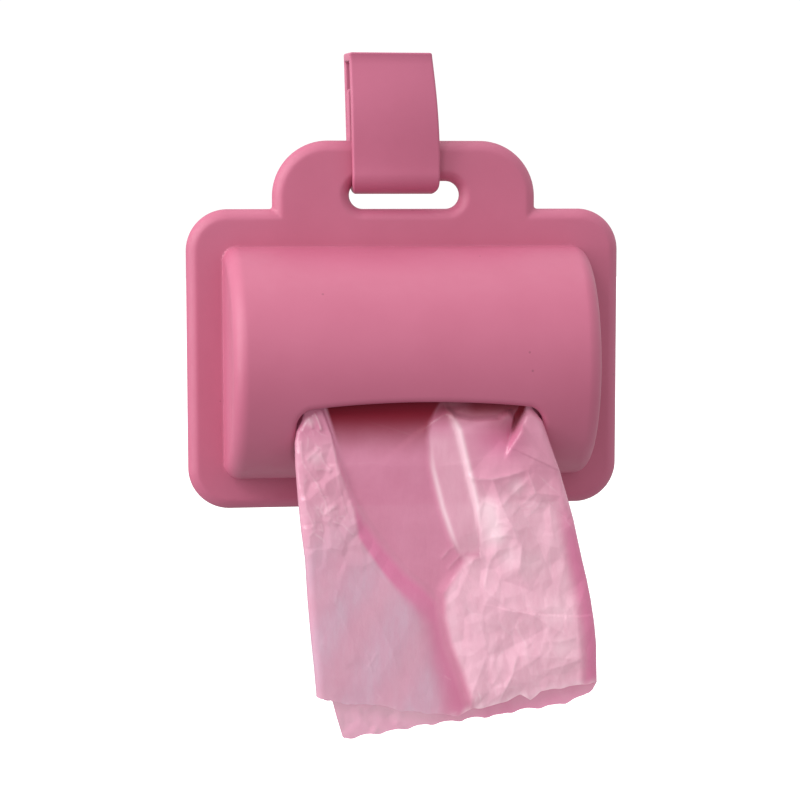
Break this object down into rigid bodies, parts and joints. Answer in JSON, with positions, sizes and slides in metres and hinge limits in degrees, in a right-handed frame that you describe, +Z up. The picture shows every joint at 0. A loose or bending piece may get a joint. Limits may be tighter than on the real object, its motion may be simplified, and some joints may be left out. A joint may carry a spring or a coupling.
{
  "type": "dog poop bag dispenser",
  "caption": "Moulded silicone bag roll dispenser: a plate with a half-barrel pocket and front mouth, hung by a snap strap through its top slot, with a film bag hanging out.",
  "frame": {"origin": "on the inside of the strap's top fold, straight above the middle of the plate's width and thickness, where the object hangs", "axes": "+Z up as it hangs, the front with the barrel and mouth faces -Y, +X to the viewer's right"},
  "size_m": [0.086, 0.034, 0.1311],
  "materials": {
    "silicone": "fine matte moulded silicone, dusty pink",
    "silicone_strap": "smooth matte silicone band, dusty pink",
    "snap_metal": "nickel-plated press stud",
    "core_card": "plain wound card tube",
    "bag_film": "thin crinkled polyethylene film, pink, slightly see-through"
  },
  "bodies": {
    "strap": {"strap_band": "silicone_strap", "snap_stud": "snap_metal", "snap_post": "snap_metal"},
    "holder": {"front_shell": "silicone", "rear_panel": "silicone"},
    "loose_end": {"strap_end": "silicone_strap", "snap_cap": "snap_metal", "snap_socket": "snap_metal"},
    "flap": {"refill_flap": "silicone"},
    "roll": {"roll_core": "core_card", "roll_film": "bag_film"},
    "bag": {"leading_bag": "bag_film"}
  },
  "joints": [
    {"name": "holder_shift", "type": "slide", "parent": "strap", "child": "holder", "axis": [-1, 0, 0], "range_m": [0, 0.0034]},
    {"name": "loose_end_open", "type": "hinge", "parent": "strap", "child": "loose_end", "pos_m": [0, 0.0076, -0.0036], "axis": [1, 0, 0], "range_deg": [0, 140]},
    {"name": "flap_open", "type": "hinge", "parent": "holder", "child": "flap", "pos_m": [0, 0.002, -0.0828], "axis": [-1, 0, 0], "range_deg": [0, 120], "stiffness_Nm_per_rad": 0.002},
    {"name": "bag_pull", "type": "slide", "parent": "holder", "child": "bag", "axis": [0, 0, -1], "range_m": [0, 0.03]},
    {"name": "roll_turn", "type": "hinge", "parent": "holder", "child": "roll", "pos_m": [0, -0.0107, -0.06536], "axis": [1, 0, 0], "range_deg": [0, 180]}
  ],
  "couplings": [
    {"joint": "roll_turn", "follows": "bag_pull", "rad_per_m": 102.04}
  ]
}
